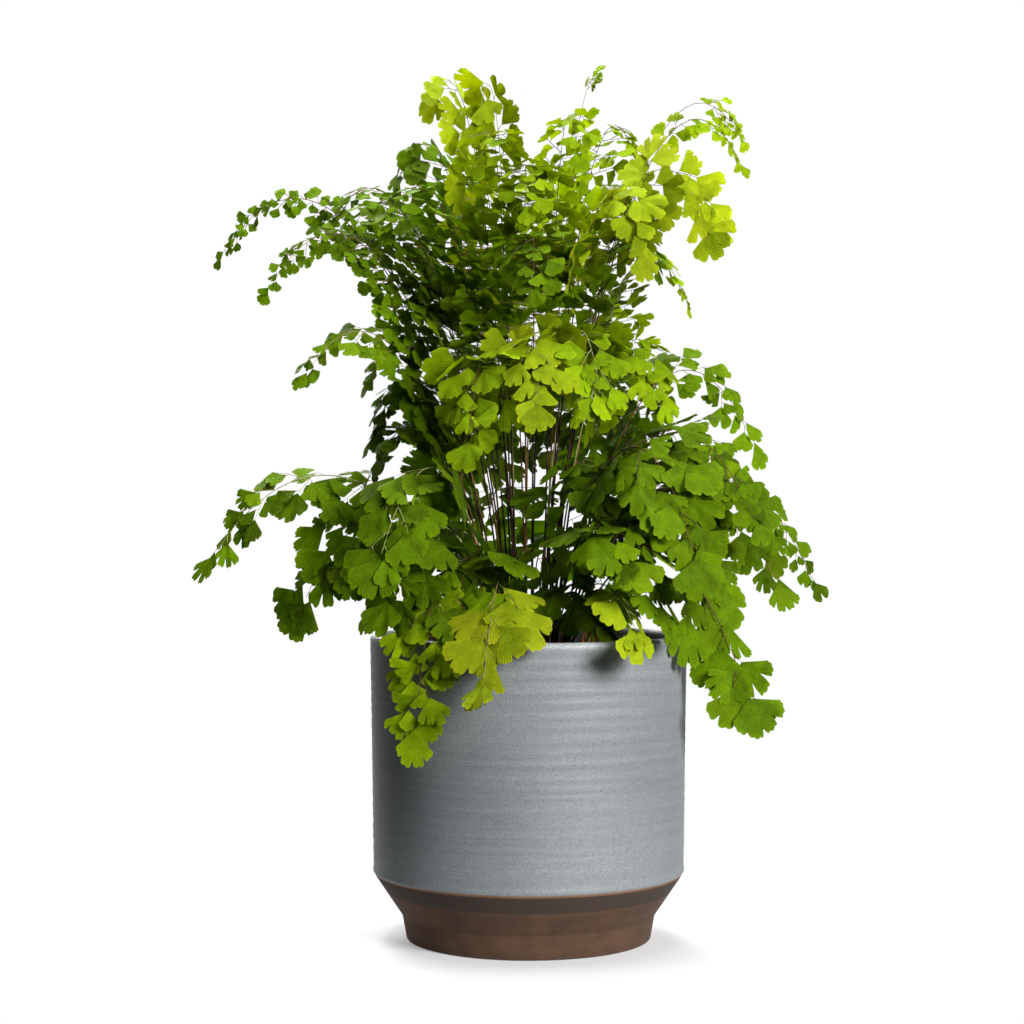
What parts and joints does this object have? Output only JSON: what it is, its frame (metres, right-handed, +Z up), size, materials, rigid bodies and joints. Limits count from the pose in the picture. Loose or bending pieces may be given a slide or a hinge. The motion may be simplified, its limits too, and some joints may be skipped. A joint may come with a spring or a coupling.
{
  "type": "potted maidenhair fern",
  "caption": "Maidenhair fern with wiry dark stalks and fan-shaped leaflets, growing in soil in a straight-sided glazed stoneware cover pot with a bare clay foot.",
  "frame": {"origin": "middle of the pot's flat underside", "axes": "+Z up along the pot's axis, -Y the front"},
  "size_m": [0.3198, 0.2254, 0.4438],
  "materials": {
    "pot_stoneware": "satin",
    "soil": "matte",
    "crown": "matte",
    "stalk": "satin",
    "leaf_dark": "satin",
    "leaf_mid": "satin",
    "leaf_bright": "satin",
    "leaf_lime": "satin",
    "leaf_yellow": "satin"
  },
  "bodies": {
    "root": {"pot": "pot_stoneware", "soil": "soil", "crown": "crown", "high_frond_01": "leaf_mid", "high_frond_02": "leaf_mid", "high_frond_03": "leaf_mid", "high_frond_04": "leaf_mid", "high_frond_05": "leaf_lime", "high_frond_06": "leaf_lime", "high_frond_07": "leaf_bright", "high_frond_08": "leaf_bright", "high_frond_09": "leaf_bright", "high_frond_10": "leaf_bright", "high_frond_11": "leaf_lime", "high_frond_12": "leaf_lime", "high_frond_13": "leaf_bright", "high_frond_14": "leaf_mid", "high_frond_15": "leaf_mid", "high_frond_16": "leaf_bright", "high_frond_17": "leaf_bright", "high_frond_18": "leaf_bright", "high_frond_19": "leaf_mid", "high_frond_20": "leaf_bright", "high_frond_21": "leaf_mid", "high_frond_22": "leaf_mid", "low_frond_01": "leaf_mid", "low_frond_02": "leaf_mid", "low_frond_03": "leaf_mid", "low_frond_04": "leaf_mid", "low_frond_05": "leaf_mid", "low_frond_06": "leaf_lime", "low_frond_07": "leaf_yellow", "low_frond_08": "leaf_bright", "low_frond_09": "leaf_dark", "low_frond_10": "leaf_mid", "low_frond_11": "leaf_mid", "low_frond_12": "leaf_mid", "low_frond_13": "leaf_mid", "low_frond_14": "leaf_mid", "low_frond_15": "leaf_mid", "middle_frond_01": "leaf_mid", "middle_frond_02": "leaf_mid", "middle_frond_03": "leaf_dark", "middle_frond_04": "leaf_bright", "middle_frond_05": "leaf_lime", "middle_frond_06": "leaf_bright", "middle_frond_07": "leaf_bright", "middle_frond_08": "leaf_mid", "middle_frond_09": "leaf_mid", "middle_frond_10": "leaf_mid", "middle_frond_11": "leaf_dark", "middle_frond_12": "leaf_dark", "middle_frond_13": "leaf_mid", "middle_frond_14": "leaf_dark", "middle_frond_15": "leaf_mid", "middle_frond_16": "leaf_mid", "middle_frond_17": "leaf_dark", "middle_frond_18": "leaf_mid", "middle_frond_19": "leaf_dark", "middle_frond_20": "leaf_dark"}
  },
  "joints": []
}
